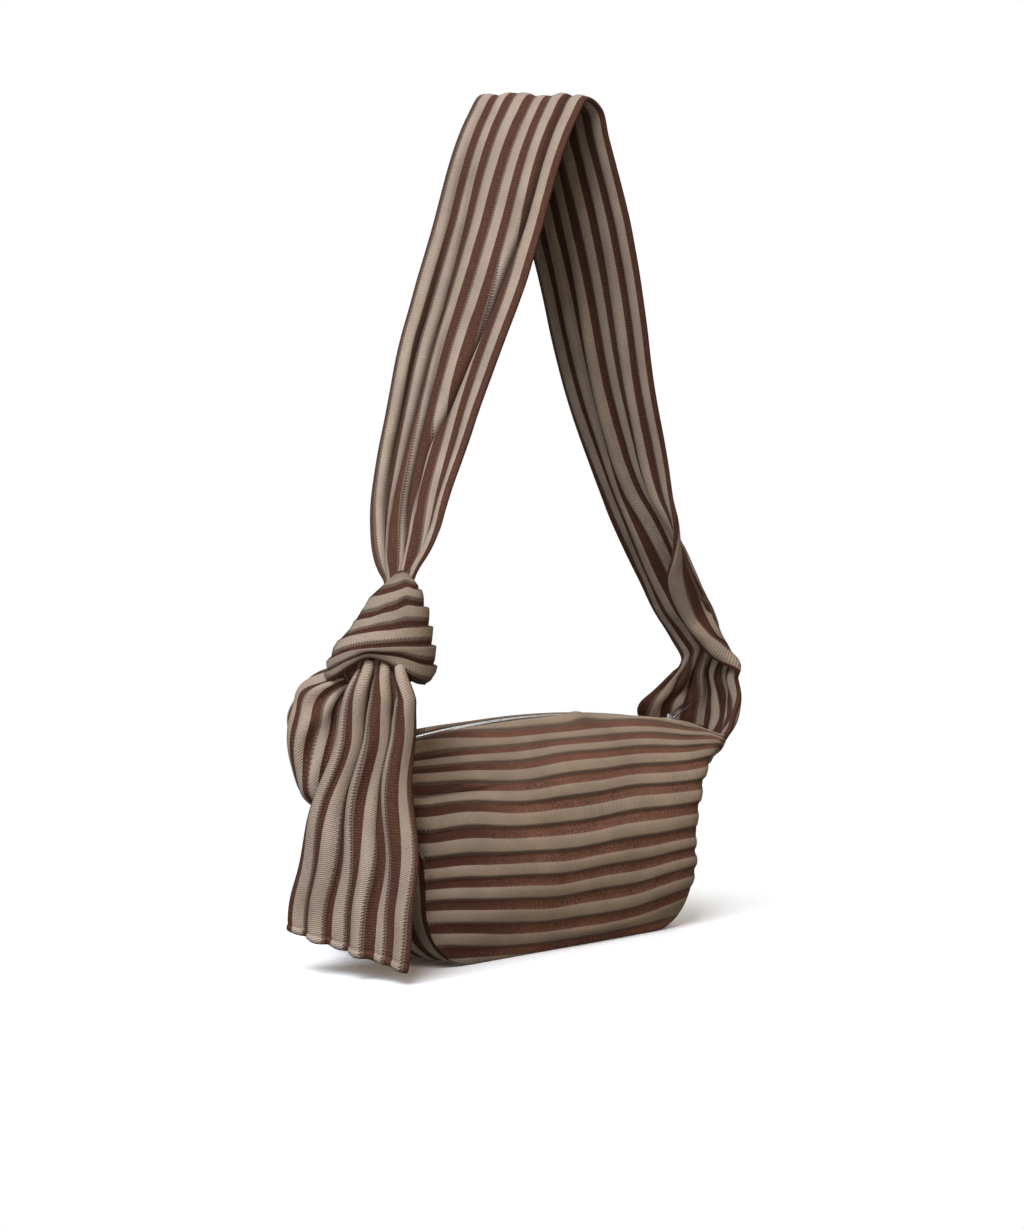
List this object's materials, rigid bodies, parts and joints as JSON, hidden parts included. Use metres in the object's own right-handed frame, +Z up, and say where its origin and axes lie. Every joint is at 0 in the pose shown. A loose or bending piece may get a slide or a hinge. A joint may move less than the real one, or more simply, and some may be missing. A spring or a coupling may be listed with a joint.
{
  "type": "knit shoulder bag",
  "caption": "Striped knit shoulder bag with a zipped pouch, a wide ribbed strap tied in a knot at one end, and a hanging strap tail.",
  "frame": {"origin": "middle of the flat base, on the surface that the bag stands on", "axes": "+Z up, +X along the bag towards the end with the closed zip slider, front panel towards -Y"},
  "size_m": [0.4105, 0.1332, 0.5659],
  "materials": {
    "striped_knit": "ribbed knit in taupe and reddish brown stripes",
    "dark_knit": "dark brown knit",
    "lining": "thin woven lining",
    "zip_tape": "woven tape",
    "zip_metal": "polished nickel"
  },
  "bodies": {
    "body": {"front_panel": "striped_knit", "back_panel": "striped_knit", "gusset_band": "striped_knit", "strap_root_right": "striped_knit", "strap_root_left": "striped_knit", "knot_wrap": "striped_knit", "knot_core": "dark_knit", "lining_front": "lining", "lining_back": "lining", "lining_gusset": "lining", "zip_tape_front": "zip_tape", "zip_tape_back": "zip_tape", "zip_teeth_front": "zip_metal", "zip_teeth_back": "zip_metal", "zip_top_stop_front": "zip_metal", "zip_top_stop_back": "zip_metal", "zip_bottom_stop": "zip_metal", "zip_tab_right": "dark_knit", "zip_tab_left": "dark_knit"},
    "strap": {"long_strap": "striped_knit"},
    "strap_tail": {"tail": "striped_knit", "tail_hem": "dark_knit"},
    "slider": {"zip_slider": "zip_metal"},
    "pull": {"zip_pull": "zip_metal"}
  },
  "joints": [
    {"name": "strap_swing", "type": "hinge", "parent": "body", "child": "strap", "pos_m": [-0.147, -0.033, 0.258], "axis": [0.975, 0.0933, -0.2018], "range_deg": [-55, 80]},
    {"name": "tail_flip", "type": "hinge", "parent": "body", "child": "strap_tail", "pos_m": [-0.178, -0.048, 0.178], "axis": [-0.5, 0.866, 0], "range_deg": [0, 80]},
    {"name": "zip_slide", "type": "hinge", "parent": "body", "child": "slider", "pos_m": [0.011, 0, -0.776], "axis": [0, -1, 0], "range_deg": [0, 18]},
    {"name": "pull_swing", "type": "hinge", "parent": "slider", "child": "pull", "pos_m": [0.16787, 0, 0.13936], "axis": [0, -1, 0], "range_deg": [0, 143]}
  ]
}
